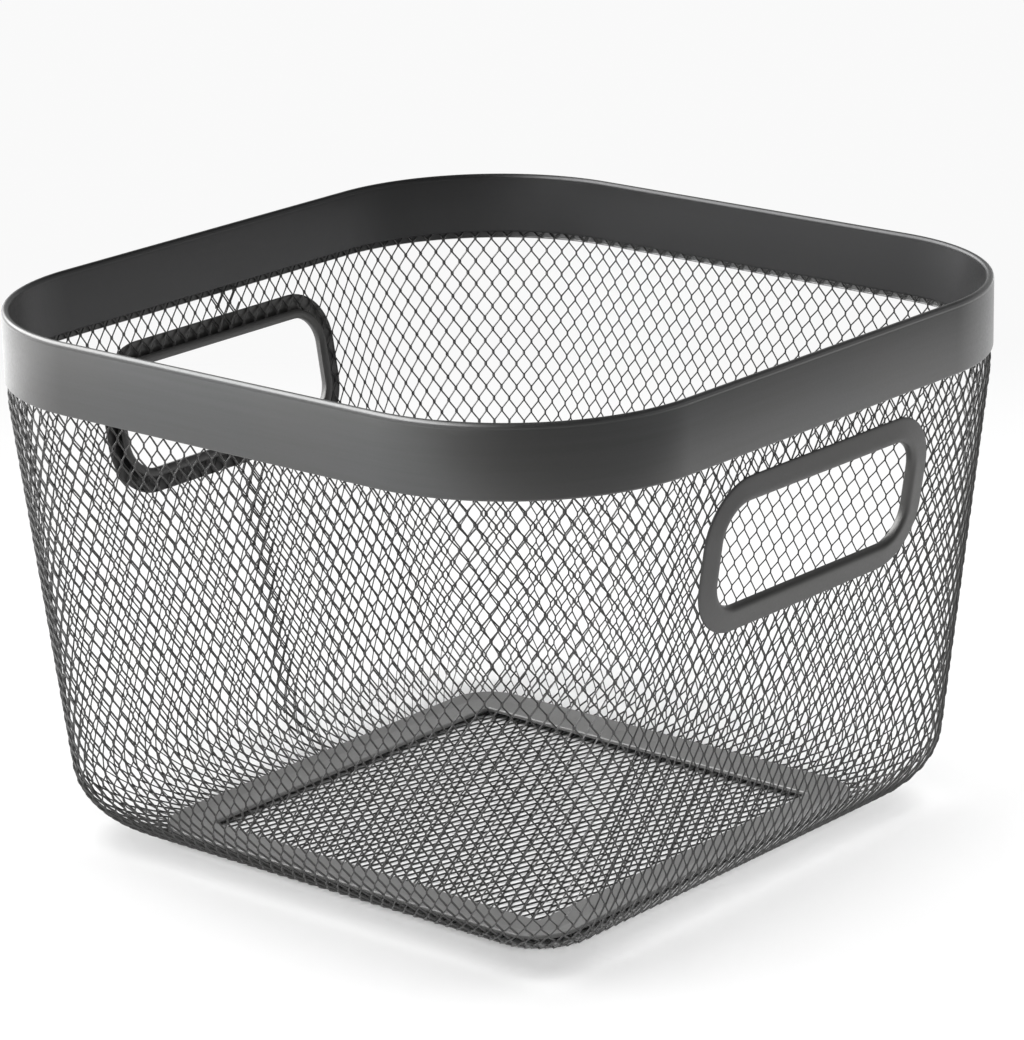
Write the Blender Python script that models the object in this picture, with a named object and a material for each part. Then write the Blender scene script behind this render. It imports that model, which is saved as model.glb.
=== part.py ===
"""A nearly square steel mesh basket: a folded rim band, a wall of expanded mesh that
tapers to a rounded foot, two pressed hand rings and a flat mesh base under a
square frame. Metres, +Z up, origin under the middle of the base on the floor.
The hand rings are on the +X and -X walls.
"""

import math

import bmesh
import bpy
from mathutils import Matrix, Vector

# Overall form
TOP_WIDTH = 0.250             # outside of the rim band along X
TOP_LENGTH = 0.257            # and along Y
HEIGHT = 0.175
RIM_CORNER_RADIUS = 0.063
FOOT_SIDE = 0.2004            # square, where the sloping walls, run on, reach the level of the base
FOOT_CORNER_RADIUS = 0.0158
BOTTOM_BEND_RADIUS = 0.028    # the wall mesh turning under, in its mid-surface
BASE_CORNER_RADIUS = 0.013
UPRIGHT_BELOW_BAND = 0.0065   # the wall drops straight this far before it starts to slope

# Sheet metal
MESH_THICKNESS = 0.0008
SEAT_GAP = 0.0003             # between pieces that touch

# Expanded mesh, drawn coarser than the real one
CELL_WIDTH = 0.0222
CELL_HEIGHT = 0.0285
STRAND_WIDTH = 0.0024
TURNED_IN_EDGE = 0.0074       # flat edge of the wall mesh under the base frame

# Rim band: one strip folded over the top edge of the mesh
BAND_HEIGHT = 0.0225
BAND_SKIN = 0.0005
INNER_SKIN_LIFT = 0.0026      # the inner skin stops this far above the outer one
MESH_TOP_CLEARANCE = 0.0012   # from the top of the mesh to the inside of the fold
FIRST_CELL_LIFT = 0.0016      # the open cells start this far inside the band

# Hand rings: pressed rims round the two hand holes
HAND_HOLE_LENGTH = 0.0929
HAND_HOLE_HEIGHT = 0.0334
HAND_HOLE_RADIUS = 0.0105
HAND_HOLE_CENTRE_HEIGHT = 0.1209
RING_SKIN = 0.0006
RING_WIDTH = 0.0081           # the domed face outside the wall
RING_DOME = 0.0013            # how far the dome stands off the mesh
LIP_WIDTH = 0.0030            # the curled lip inside the wall
LIP_DEPTH = 0.0013

# Base frame: a flat strip, square inside, lying on the wall mesh's turned-in edge
FRAME_OPENING = 0.1346
FRAME_OUTER_SIDE = 0.1630
FRAME_THICKNESS = 0.0012
FRAME_EDGE_RISE = 0.0003      # its outer edge is pressed up this much more than the bend rises
FRAME_OUTER_RADIUS = 0.0150
FRAME_INNER_RADIUS = 0.0008

# Facets
RIM_CORNER_STEPS = 10
RING_CORNER_STEPS = 5
FRAME_CORNER_STEPS = 6
HEM_STEPS = 4
PLAIN_EDGE_STEPS = 2          # along the flat side of each half cell

# Finish: grey powder coat on steel
STEEL_GREY = (0.115, 0.117, 0.120)
MESH_GREY = (0.075, 0.076, 0.078)
BASE_GREY = (0.150, 0.152, 0.155)


def clear_scene():
    for old in list(bpy.data.objects):
        bpy.data.objects.remove(old, do_unlink=True)


def coated_steel(name, colour, roughness):
    material = bpy.data.materials.new(name)
    material.use_nodes = True
    shader = material.node_tree.nodes["Principled BSDF"]
    shader.inputs["Base Color"].default_value = (*colour, 1)
    shader.inputs["Roughness"].default_value = roughness
    shader.inputs["Metallic"].default_value = 0.55
    return material


def add_object(name, data, material):
    obj = bpy.data.objects.new(name, data)
    bpy.context.scene.collection.objects.link(obj)
    obj.data.materials.append(material)
    return obj


def mesh_object(name, shape, material, smooth_below=None):
    """Turns a bmesh into a named object, smooth over edges below the given angle."""
    bmesh.ops.recalc_face_normals(shape, faces=shape.faces)
    mesh = bpy.data.meshes.new(name)
    shape.to_mesh(mesh)
    shape.free()
    if smooth_below is not None:
        mesh.shade_smooth()
        mesh.set_sharp_from_angle(angle=smooth_below)
    return add_object(name, mesh, material)


def square_outline(half_x, half_y, radius, steps):
    """Points round a rounded rectangle, counter-clockwise from the +X side."""
    points = []
    for turn, (sx, sy) in enumerate(((1, 1), (-1, 1), (-1, -1), (1, -1))):
        centre = (sx * (half_x - radius), sy * (half_y - radius))
        for step in range(steps + 1):
            angle = math.pi / 2 * (turn + step / steps)
            points.append((centre[0] + radius * math.cos(angle), centre[1] + radius * math.sin(angle)))
    return points


def bridged_loops(loops):
    """Skins equal loops of points in turn, and joins the last loop to the first."""
    shape = bmesh.new()
    rows = [[shape.verts.new(point) for point in loop] for loop in loops]
    for lower, upper in zip(rows, rows[1:] + rows[:1]):
        count = len(lower)
        for k in range(count):
            following = (k + 1) % count
            shape.faces.new((lower[k], lower[following], upper[following], upper[k]))
    return shape


class Wall:
    """The mid-surface of the wall mesh, from its top edge down, round the bend and in."""

    def __init__(self):
        self.top_half = TOP_WIDTH / 2 - BAND_SKIN - SEAT_GAP - MESH_THICKNESS / 2
        self.top_radius = RIM_CORNER_RADIUS - (TOP_WIDTH / 2 - self.top_half)
        self.band_foot = HEIGHT - BAND_HEIGHT
        self.floor = MESH_THICKNESS * 3 / 2 + SEAT_GAP
        self.top = HEIGHT - BAND_SKIN - MESH_TOP_CLEARANCE
        self.slope_top = self.band_foot - UPRIGHT_BELOW_BAND
        foot_half = FOOT_SIDE / 2
        self.slope = math.atan2(self.top_half - foot_half, self.slope_top - self.floor)
        self.turn = math.pi / 2 - self.slope
        tangent = BOTTOM_BEND_RADIUS * math.tan(self.turn / 2)
        self.base_half = foot_half - tangent
        run = math.hypot(self.top_half - foot_half, self.slope_top - self.floor) - tangent
        self.upright = self.top - self.slope_top
        self.slope_end = self.upright + run
        self.bend_end = self.slope_end + BOTTOM_BEND_RADIUS * self.turn
        self.length = self.bend_end + TURNED_IN_EDGE

    def share_up(self, height):
        return min((height - self.floor) / (self.slope_top - self.floor), 1)

    def radius_at(self, height):
        return FOOT_CORNER_RADIUS + (self.top_radius - FOOT_CORNER_RADIUS) * self.share_up(height)

    def section(self, down):
        """Half width along X, corner radius and height at a distance down the sheet."""
        if down <= self.upright:
            return self.top_half, self.top_radius, self.top - down
        if down <= self.slope_end:
            along = down - self.upright
            height = self.slope_top - along * math.cos(self.slope)
            return self.top_half - along * math.sin(self.slope), self.radius_at(height), height
        if down <= self.bend_end:
            angle = (self.bend_end - down) / BOTTOM_BEND_RADIUS
            height = self.floor + BOTTOM_BEND_RADIUS * (1 - math.cos(angle))
            start = self.radius_at(self.floor + BOTTOM_BEND_RADIUS * (1 - math.cos(self.turn)))
            share = angle / self.turn
            radius = BASE_CORNER_RADIUS + (start - BASE_CORNER_RADIUS) * share
            return self.base_half + BOTTOM_BEND_RADIUS * math.sin(angle), radius, height
        return self.base_half - (down - self.bend_end), BASE_CORNER_RADIUS, self.floor

    def bend_angle(self, half):
        """How far the bend has turned up from flat, where the wall is this far from the middle."""
        return math.asin((half - self.base_half) / BOTTOM_BEND_RADIUS)

    def place(self, around, down):
        """A point of the mid-surface. Around is a share of a turn from the middle of the +X wall."""
        half, radius, height = self.section(down)
        half_length = half + (TOP_LENGTH - TOP_WIDTH) / 2 * self.share_up(height)
        quarter, share = divmod(around * 4, 1)
        quarter = quarter % 4
        if quarter in (1, 3):
            share = 1 - share
        arc = math.pi / 2 * radius
        centre = (half - radius, half_length - radius)
        along = share * (centre[1] + arc + centre[0])
        if along < centre[1]:
            x, y = half, along
        elif along < centre[1] + arc:
            angle = (along - centre[1]) / radius
            x, y = centre[0] + radius * math.cos(angle), centre[1] + radius * math.sin(angle)
        else:
            x, y = centre[1] + arc + centre[0] - along, half_length
        if quarter in (1, 2):
            x = -x
        if quarter in (2, 3):
            y = -y
        return Vector((x, y, height))

    def normal(self, around, down):
        """The outward normal, from the directions round and down the sheet."""
        step = MESH_THICKNESS / TOP_WIDTH
        sideways = self.place(around + step, down) - self.place(around - step, down)
        before = max(down - MESH_THICKNESS, 0)
        after = min(down + MESH_THICKNESS, self.length)
        downwards = self.place(around, after) - self.place(around, before)
        return downwards.cross(sideways).normalized()


def open_share():
    """How much of a cell's width and height its hole takes, for strands of the stated width."""
    diagonal = math.hypot(CELL_WIDTH, CELL_HEIGHT)
    return 1 - STRAND_WIDTH * diagonal / (CELL_WIDTH * CELL_HEIGHT)


def wall_mesh(wall, material):
    """A ring of diamond cells on the wall surface, with a plain edge above and below.

    Each cell is a hole whose corners are kept as pairs, one on the outer and one
    on the inner face of the sheet. Every other row is shifted by half a cell, and
    the first and last rows are half cells, closed by the plain edges.
    """
    longer = TOP_LENGTH - TOP_WIDTH
    round_top = 8 * wall.top_half + 2 * longer - (8 - 2 * math.pi) * wall.top_radius
    columns = 4 * round(round_top / CELL_WIDTH / 4)
    first = wall.top - wall.band_foot - FIRST_CELL_LIFT
    last = wall.bend_end - BOTTOM_BEND_RADIUS * wall.bend_angle(FRAME_OUTER_SIDE / 2)
    last_row = round(2 * (last - first) / CELL_HEIGHT)
    half_row = (last - first) / last_row
    reach_around = open_share() / columns / 2
    reach_down = open_share() * half_row
    shape = bmesh.new()

    def pair(around, down):
        middle = wall.place(around, down)
        out = wall.normal(around, down) * (MESH_THICKNESS / 2)
        return shape.verts.new(middle + out), shape.verts.new(middle - out)

    def flat_side(row, column, down):
        """Points level with each other across a cell, from its left to its right corner."""
        middle = (column + row % 2 / 2) / columns
        steps = 1 if 0 < row < last_row else PLAIN_EDGE_STEPS
        shares = [2 * step / steps - 1 for step in range(steps + 1)]
        return [pair(middle + reach_around * share, down) for share in shares]

    def sheet_face(*corners):
        shape.faces.new([corner[0] for corner in corners])
        shape.faces.new([corner[1] for corner in reversed(corners)])

    def edge_face(start, end):
        shape.faces.new((start[1], end[1], end[0], start[0]))

    cells = {}
    for row in range(last_row + 1):
        down = first + row * half_row
        for column in range(columns):
            around = (column + row % 2 / 2) / columns
            flat = flat_side(row, column, down)
            cell = {"flat": flat, "left": flat[0], "right": flat[-1]}
            if row > 0:
                cell["top"] = pair(around, down - reach_down)
            if row < last_row:
                cell["bottom"] = pair(around, down + reach_down)
            cells[row, column] = cell

    for (row, column), cell in cells.items():
        beside = cells[row, (column + 1) % columns]
        shifted = (column + row % 2) % columns
        node = [cell["right"]]
        if row < last_row:
            node.append(cells[row + 1, shifted]["top"])
        node.append(beside["left"])
        if row > 0:
            node.append(cells[row - 1, shifted]["bottom"])
            right_up = cells[row - 1, shifted]
            left_up = cells[row - 1, (shifted - 1) % columns]
            sheet_face(cell["top"], cell["right"], right_up["bottom"], right_up["left"])
            sheet_face(cell["left"], cell["top"], left_up["right"], left_up["bottom"])
        sheet_face(*node)
        if row == 0:
            hole = [cell["bottom"]] + cell["flat"][::-1]
        elif row == last_row:
            hole = cell["flat"] + [cell["top"]]
        else:
            hole = [cell["left"], cell["bottom"], cell["right"], cell["top"]]
        for start, end in zip(hole, hole[1:] + hole[:1]):
            edge_face(start, end)

    def ring_of(row, down=None):
        """Every flat side of a row of half cells in turn, or the same line further down."""
        sides = [cells[row, k]["flat"] if down is None else flat_side(row, k, down) for k in range(columns)]
        return [point for side in sides for point in side]

    def join(upper, lower):
        for k, (above, below) in enumerate(zip(upper, lower)):
            following = (k + 1) % len(upper)
            sheet_face(above, below, lower[following], upper[following])

    top_edge = ring_of(0, 0)
    bottom_edge = ring_of(last_row, wall.length)
    bend_line = ring_of(last_row, wall.bend_end)
    join(top_edge, ring_of(0))
    join(ring_of(last_row), bend_line)
    join(bend_line, bottom_edge)
    for start, end in zip(top_edge, top_edge[1:] + top_edge[:1]):
        edge_face(start, end)
    for start, end in zip(bottom_edge, bottom_edge[1:] + bottom_edge[:1]):
        edge_face(end, start)
    return mesh_object("wall_mesh", shape, material)


def rim_band(material):
    """One strip in a U: outer skin, rolled hem on top and a shorter inner skin."""
    fold = 2 * (BAND_SKIN + SEAT_GAP) + MESH_THICKNESS
    foot = HEIGHT - BAND_HEIGHT
    hem_centre = HEIGHT - fold / 2
    section = [(BAND_SKIN, foot), (0, foot)]
    for step in range(HEM_STEPS + 1):
        angle = math.pi * step / HEM_STEPS
        section.append((fold / 2 * (1 - math.cos(angle)), hem_centre + fold / 2 * math.sin(angle)))
    section += [(fold, foot + INNER_SKIN_LIFT), (fold - BAND_SKIN, foot + INNER_SKIN_LIFT)]
    inner = fold / 2 - BAND_SKIN
    for step in range(HEM_STEPS // 2 + 1):
        angle = math.pi * step / (HEM_STEPS // 2)
        section.append((fold / 2 + inner * math.cos(angle), hem_centre + inner * math.sin(angle)))
    loops = []
    for inset, height in section:
        outline = square_outline(
            TOP_WIDTH / 2 - inset,
            TOP_LENGTH / 2 - inset,
            RIM_CORNER_RADIUS - inset,
            RIM_CORNER_STEPS,
        )
        loops.append([(x, y, height) for x, y in outline])
    return mesh_object("rim_band", bridged_loops(loops), material, math.radians(50))


def ring_section():
    """The hand ring's section, as distance out from the hole's edge and out from the wall.

    A domed sheet outside the wall runs through the hole and curls into a lip
    inside it. The mesh is held between the two.
    """
    seat = MESH_THICKNESS / 2 + SEAT_GAP
    crown = seat + RING_DOME
    lip_back = -seat - LIP_DEPTH
    outer_face = [
        (RING_WIDTH, seat),
        (RING_WIDTH - RING_SKIN / 3, seat + RING_DOME / 2),
        (RING_WIDTH * 3 / 4, crown - RING_DOME / 8),
        (RING_WIDTH / 2, crown),
        (RING_WIDTH / 4, crown - RING_DOME / 8),
        (RING_SKIN / 3, seat + RING_DOME / 2),
        (0, seat),
    ]
    lip = [
        (0, -seat),
        (RING_SKIN, lip_back + RING_SKIN / 2),
        (LIP_WIDTH / 2, lip_back),
        (LIP_WIDTH, lip_back + RING_SKIN / 2),
        (LIP_WIDTH, -seat),
        (LIP_WIDTH - RING_SKIN, -seat),
        (LIP_WIDTH / 2 + RING_SKIN / 2, lip_back + RING_SKIN),
        (RING_SKIN, -seat),
    ]
    under_dome = [
        (RING_SKIN, seat + RING_SKIN),
        (RING_WIDTH / 4 + RING_SKIN / 2, crown - RING_DOME / 8 - RING_SKIN),
        (RING_WIDTH / 2, crown - RING_SKIN),
        (RING_WIDTH * 3 / 4 - RING_SKIN / 2, crown - RING_DOME / 8 - RING_SKIN),
        (RING_WIDTH - RING_SKIN, seat),
    ]
    return outer_face + lip + under_dome


def hand_ring(name, wall, side, material):
    """A pressed rim round a hand hole, lying on the +X wall for side 0 and the -X wall for side 1."""
    loops = []
    for outwards, off_wall in ring_section():
        outline = square_outline(
            HAND_HOLE_LENGTH / 2 + outwards,
            HAND_HOLE_HEIGHT / 2 + outwards,
            HAND_HOLE_RADIUS + outwards,
            RING_CORNER_STEPS,
        )
        loops.append([(x, y, off_wall) for x, y in outline])
    ring = mesh_object(name, bridged_loops(loops), material, math.radians(40))
    ring.matrix_world = hand_hole_frame(wall, side)
    return ring


def hand_hole_frame(wall, side):
    """Local X runs along the wall, local Y up the slope and local Z out of the wall."""
    down = wall.upright + (wall.slope_top - HAND_HOLE_CENTRE_HEIGHT) / math.cos(wall.slope)
    half = wall.section(down)[0]
    along = Vector((0, 1, 0))
    up = Vector((math.sin(wall.slope), 0, math.cos(wall.slope)))
    axes = Matrix((along, up, along.cross(up))).transposed().to_4x4()
    placed = Matrix.Translation((half, 0, HAND_HOLE_CENTRE_HEIGHT)) @ axes
    return Matrix.Rotation(side * math.pi, 4, "Z") @ placed


def cut_hand_hole(name, wall, mesh, side):
    """Opens the mesh under a hand ring, a seat gap clear of the ring's flange."""
    clear = RING_SKIN + SEAT_GAP
    outline = square_outline(
        HAND_HOLE_LENGTH / 2 + clear,
        HAND_HOLE_HEIGHT / 2 + clear,
        HAND_HOLE_RADIUS + clear,
        RING_CORNER_STEPS,
    )
    reach = BOTTOM_BEND_RADIUS
    shape = bmesh.new()
    corners = [shape.verts.new((x, y, -reach)) for x, y in outline]
    face = shape.faces.new(corners)
    extruded = bmesh.ops.extrude_face_region(shape, geom=[face])
    raised = [part for part in extruded["geom"] if isinstance(part, bmesh.types.BMVert)]
    bmesh.ops.translate(shape, verts=raised, vec=(0, 0, 2 * reach))
    cutter = mesh_object(name, shape, mesh.data.materials[0])
    cutter.matrix_world = hand_hole_frame(wall, side)
    cutter.hide_render = True
    cutter.display_type = "WIRE"
    cut = mesh.modifiers.new(name, "BOOLEAN")
    cut.operation = "DIFFERENCE"
    cut.solver = "EXACT"
    cut.object = cutter


def kept_inside(points, limit):
    """The part of a convex outline that lies within a square of this half width."""
    for axis in (0, 1):
        for sign in (1, -1):
            kept = []
            for start, end in zip(points, points[1:] + points[:1]):
                room_start = limit - sign * start[axis]
                room_end = limit - sign * end[axis]
                if room_start >= 0:
                    kept.append(start)
                if room_start * room_end < 0:
                    share = room_start / (room_start - room_end)
                    kept.append(tuple(a + (b - a) * share for a, b in zip(start, end)))
            points = kept
    return points


def base_mesh(wall, material):
    """A flat panel of the same cells, with a plain edge, under the wall mesh's turned-in edge."""
    half = wall.base_half - SEAT_GAP
    limit = half - STRAND_WIDTH
    reach_x = CELL_WIDTH / 2 * open_share()
    reach_y = CELL_HEIGHT / 2 * open_share()
    curve = bpy.data.curves.new("base_mesh", "CURVE")
    curve.dimensions = "2D"
    curve.fill_mode = "BOTH"
    curve.extrude = MESH_THICKNESS / 2

    def add_outline(points):
        spline = curve.splines.new("POLY")
        spline.points.add(len(points) - 1)
        for point, (x, y) in zip(spline.points, points):
            point.co = (x, y, 0, 1)
        spline.use_cyclic_u = True

    def clear_of_corner(point):
        past = [max(abs(value) - (half - BASE_CORNER_RADIUS), 0) for value in point]
        return math.hypot(*past) <= BASE_CORNER_RADIUS - STRAND_WIDTH / 2 or min(past) == 0

    add_outline(square_outline(half, half, BASE_CORNER_RADIUS, FRAME_CORNER_STEPS))
    columns = math.ceil(limit / CELL_WIDTH)
    rows = math.ceil(2 * limit / CELL_HEIGHT)
    for row in range(-rows, rows + 1):
        for column in range(-columns, columns + 1):
            x = (column + (row + 1) % 2 / 2) * CELL_WIDTH
            y = row * CELL_HEIGHT / 2
            room_x = limit - abs(x)
            room_y = limit - abs(y)
            if min(room_x + reach_x, room_y + reach_y) <= STRAND_WIDTH:
                continue
            cell = [(x - reach_x, y), (x, y - reach_y), (x + reach_x, y), (x, y + reach_y)]
            hole = kept_inside(cell, limit)
            if all(clear_of_corner(point) for point in hole):
                add_outline(hole)
    panel = add_object("base_mesh", curve, material)
    panel.location = (0, 0, MESH_THICKNESS / 2)
    return panel


def base_frame(wall, material):
    """A strip round the base, flat over the turned-in edge, its own outer edge pressed up."""
    seat = 2 * (MESH_THICKNESS + SEAT_GAP)
    flat_half = wall.base_half - SEAT_GAP
    chamfer = FRAME_THICKNESS / 4
    inner_half = FRAME_OPENING / 2
    outer_half = FRAME_OUTER_SIDE / 2
    upper = seat + FRAME_THICKNESS
    edge_rise = BOTTOM_BEND_RADIUS * (1 - math.cos(wall.bend_angle(outer_half))) + FRAME_EDGE_RISE
    flat_radius = FRAME_OUTER_RADIUS - (outer_half - flat_half)
    stations = [
        (inner_half, FRAME_INNER_RADIUS, seat),
        (inner_half, FRAME_INNER_RADIUS, upper - chamfer),
        (inner_half + chamfer, FRAME_INNER_RADIUS + chamfer, upper),
        (flat_half, flat_radius, upper),
        (outer_half - chamfer, FRAME_OUTER_RADIUS - chamfer, upper + edge_rise),
        (outer_half, FRAME_OUTER_RADIUS, upper + edge_rise - chamfer),
        (outer_half, FRAME_OUTER_RADIUS, seat + edge_rise),
        (flat_half, flat_radius, seat),
    ]
    loops = []
    for half, radius, height in stations:
        outline = square_outline(half, half, radius, FRAME_CORNER_STEPS)
        loops.append([(x, y, height) for x, y in outline])
    return mesh_object("base_frame", bridged_loops(loops), material, math.radians(40))


def main():
    clear_scene()
    steel = coated_steel("rim grey coat", STEEL_GREY, 0.42)
    strands = coated_steel("mesh grey coat", MESH_GREY, 0.50)
    base = coated_steel("base grey coat", BASE_GREY, 0.48)
    wall = Wall()
    rim_band(steel)
    mesh = wall_mesh(wall, strands)
    for side, name in enumerate(("hand_ring_right", "hand_ring_left")):
        hand_ring(name, wall, side, steel)
        cut_hand_hole(name + "_cutter", wall, mesh, side)
    base_mesh(wall, strands)
    base_frame(wall, base)


main()
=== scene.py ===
"""A nearly square basket of expanded steel mesh, dressed for its picture. Metres, +Z up.

The mesh is made as the real one is: a flat sheet of bonds and twisted strands, cut
for the hand holes, then formed round the walls and under the base frame.
"""

import math
from collections import namedtuple

import bmesh
import bpy
import numpy as np
from mathutils import Matrix, Vector


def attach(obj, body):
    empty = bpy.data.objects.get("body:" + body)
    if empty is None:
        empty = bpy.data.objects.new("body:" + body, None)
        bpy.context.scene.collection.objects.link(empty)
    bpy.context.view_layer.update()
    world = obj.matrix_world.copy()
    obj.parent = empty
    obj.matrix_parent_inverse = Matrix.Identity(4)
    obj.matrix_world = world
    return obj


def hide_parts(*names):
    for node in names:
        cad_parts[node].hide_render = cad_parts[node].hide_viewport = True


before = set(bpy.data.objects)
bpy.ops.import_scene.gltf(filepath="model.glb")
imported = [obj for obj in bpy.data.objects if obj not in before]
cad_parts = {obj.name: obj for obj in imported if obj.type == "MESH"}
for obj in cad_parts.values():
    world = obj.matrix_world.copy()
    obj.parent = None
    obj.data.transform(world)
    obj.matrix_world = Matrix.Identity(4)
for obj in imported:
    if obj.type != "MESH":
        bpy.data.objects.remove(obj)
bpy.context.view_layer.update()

MM = 0.001

# Overall form, as in the CAD
TOP_WIDTH = 250.0 * MM
TOP_LENGTH = 257.0 * MM
HEIGHT = 175.0 * MM
RIM_CORNER_RADIUS = 63.0 * MM
FOOT_SIDE = 200.4 * MM
FOOT_CORNER_RADIUS = 15.8 * MM
BOTTOM_BEND_RADIUS = 28.0 * MM
BASE_CORNER_RADIUS = 13.0 * MM
UPRIGHT_BELOW_BAND = 6.5 * MM
SHEET_THICKNESS = 0.8 * MM
SEAT_GAP = 0.3 * MM
TURNED_IN_EDGE = 7.4 * MM

# Expanded mesh: twisted strands between short upright bonds
COLUMNS = 164                    # cells round the basket
STRAND_LENGTH = 4.80 * MM        # from the middle of one bond to the next
Strand = namedtuple("Strand", "width depth bond twist")
WALL_STRAND = Strand(0.46 * MM, 0.52 * MM, 1.0 * MM, math.radians(-50))
BASE_STRAND = Strand(0.58 * MM, 0.31 * MM, 0.8 * MM, math.radians(60))
TOP_STUB = 0.3                   # share of a half row that cut strands stand above the last bonds
MESH_TOP_HEIGHT = 156.6 * MM     # the open cells end just inside the band
LAP_COLUMNS = 2                  # cells of overlap where the sheet's ends meet
LAP_PLACE = -1.75                # where it starts, in cells past the middle of the -X wall
LAP_LIFT = 0.5 * MM
LAP_ROWS_OFF = 1                 # the lap ends this many half rows lower, clear of the band
WELD_DISTANCE = SHEET_THICKNESS / 40

# Base mesh
BASE_CELL_WIDTH = 4.70 * MM      # along X
BASE_CELL_HALF_LENGTH = 4.22 * MM  # along Y
BASE_HALF = 75.9 * MM

# Rim band
BAND_HEIGHT = 22.5 * MM
BAND_SKIN = 0.5 * MM
BAND_FOLD = 2.4 * MM
INNER_SKIN_LIFT = 2.6 * MM
GROOVE_DROP = 1.65 * MM          # below the top of the fold
GROOVE_HALF_WIDTH = 0.28 * MM
GROOVE_DEPTH = 0.09 * MM
BAND_EDGE_ROLL = 0.3 * MM        # how far the cut edges turn in
EDGE_STEP = 0.2 * MM             # from a cut edge to the first line above it
EDGE_RUN = 0.6 * MM              # and to the line where the skin is flat
CORNER_STEPS = 40
FOLD_STEPS = 12
BAND_SHARP_ABOVE = math.radians(40)

# Hand rings
HAND_HOLE_LENGTH = 92.9 * MM
HAND_HOLE_HEIGHT = 33.4 * MM
HAND_HOLE_RADIUS = 10.5 * MM
HAND_HOLE_CENTRE_HEIGHT = 120.9 * MM
RING_SKIN = 0.5 * MM
RING_STEPS = 16
RING_SHARP_ABOVE = math.radians(50)
HOLE_CUT_CLEAR = 1.6 * MM        # the mesh is cut this far outside the hole, between dome and lip

# Ring sections in mm: out from the edge of the hole, and up from the middle of the wall
RING_DOME = (
    (8.10, 0.42), (8.06, 0.70), (7.85, 0.92), (7.40, 1.04), (6.20, 1.22),
    (4.80, 1.43), (3.40, 1.65), (2.40, 1.80), (1.70, 1.86), (1.15, 1.82),
    (0.70, 1.62), (0.35, 1.26), (0.12, 0.76), (0.02, 0.10), (0.00, -0.85),
)
RING_LIP = (
    (3.00, -0.78), (2.94, -1.12), (2.66, -1.46), (2.10, -1.66),
    (1.40, -1.66), (0.80, -1.48), (0.28, -1.18), (0.00, -0.85),
)

# Powder coats. A coat goes from dark to light, by its clouds or its streaks, with a third
# shade over them. Its roughness goes from the first to the second number with the speckle.
Coat = namedtuple("Coat", "name metallic grains bump dark light over over_share roughness")
RING_COAT = Coat(
    "hand ring grey coat", 0.9, 2400.0, 0.012 * MM,
    (0.097, 0.096, 0.094), (0.111, 0.110, 0.110), (0.125, 0.124, 0.121), 0.25, (0.42, 0.52),
)
MESH_COAT = Coat(
    "mesh grey coat", 0.6, 3200.0, 0.02 * MM,
    (0.050, 0.049, 0.048), (0.066, 0.066, 0.066), (0.090, 0.089, 0.087), 0.4, (0.38, 0.52),
)
BASE_COAT = Coat(
    "base frame grey coat", 0.35, 2200.0, 0.012 * MM,
    (0.170, 0.168, 0.166), (0.196, 0.195, 0.193), (0.218, 0.218, 0.216), 0.3, (0.42, 0.55),
)
BAND_COAT = Coat(
    "rim band grey coat", 0.9, 2400.0, 0.012 * MM,
    (0.083, 0.085, 0.084), (0.092, 0.093, 0.095), (0.098, 0.095, 0.092), 0.5, (0.34, 0.44),
)
BARE_EDGE_SHADE = (0.22, 0.22, 0.215)
# Painted shade: the inner skin of the band is darkened in its colour, and given less clear coat,
# to stand for the shade inside the basket
INNER_SKIN_PAINTED_SHADE = (0.044, 0.044, 0.045)
INNER_SKIN_PAINTED_SHADE_SHARE = 0.85          # how strongly the painted shade darkens the inner skin
CLEAR_COAT_OUTSIDE = 0.5         # weight of the clear coat on the outer skin of the band
CLEAR_COAT_INSIDE = 0.15
CLEAR_COAT_ON_RING = 0.1
CLEAR_COAT_ON_MESH = 0.3
CLEAR_COAT_ROUGHNESS = 0.30
MESH_CLEAR_COAT_ROUGHNESS = 0.25
BAND_RUB_SHARE = 0.2
BASE_RUB_SHARE = 0.1
BASE_RUB_HEIGHT = 3.4 * MM       # top of the base frame
CLOUDS_PER_METRE = 14
RUBS_PER_METRE = 120
BAND_STREAKS_PER_METRE = 500.0
STREAK_STRETCH = 0.03            # how fine streaks are along the strip, as a share of across it
NOISE_BODY = (0.35, 0.65)        # where most of the values of a noise lie
STREAK_BODY = (0.33, 0.67)
RUB_BODY = (0.42, 0.62)
LEAST_RUB = 0.25                 # what is left of the rub between its patches
TOP_RUB_REACH = 0.7 * MM
FOOT_RUB_REACH = 0.6 * MM
BASE_RUB_REACH = 0.5 * MM

# Light and background
WHITE_LEVEL = 0.95               # how white the backdrop shows
ROOM_LEVEL = 0.92                # how bright the room is as a light, beside the white that shows
CEILING_LEVEL = 0.10             # how dark the room is overhead, as shiny surfaces show it
WALL_LEVEL = 0.6                 # the same of the walls at floor level
WINDOW_LEVEL = 7.0               # the same of the window wall on the left
WINDOW_FLOOR_LEVEL = 2.4         # the same of the floor under that window
DARK_FLOOR_LEVEL = 0.34          # the same of the floor past the front of the picture
FLOOR_SIDE = 9.0
FLOOR_SHADES = ((0.80, 0.80, 0.80), (0.82, 0.82, 0.82))
FLOOR_CLOUDS_PER_METRE = 6
BACK_FLOOR = (0.12, 0.55)        # metres past the origin over which the floor turns white
LEFT_FLOOR_WAY = (-1, 0.25, 0)
LEFT_FLOOR = (0.38, 0.62)        # the same to the left, as shiny surfaces show it
FRONT_FLOOR_WAY = (0.944, -0.330, 0)
FRONT_FLOOR = (0.21, 0.42)       # where it turns dark in front, as shiny surfaces show it
FRONT_TO_BACK = (-0.95, -0.1)    # shares of the way to the back over which the room brightens
FRONT_LEVEL = 0.35
WALL_TOP = (0.33, 0.55)          # shares of the way up over which walls give way to ceiling
WINDOW_WAY = (-0.8, -0.6, 0)
WINDOW_EDGE = (0.25, 0.60)       # shares of that way over which the window brightens
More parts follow.
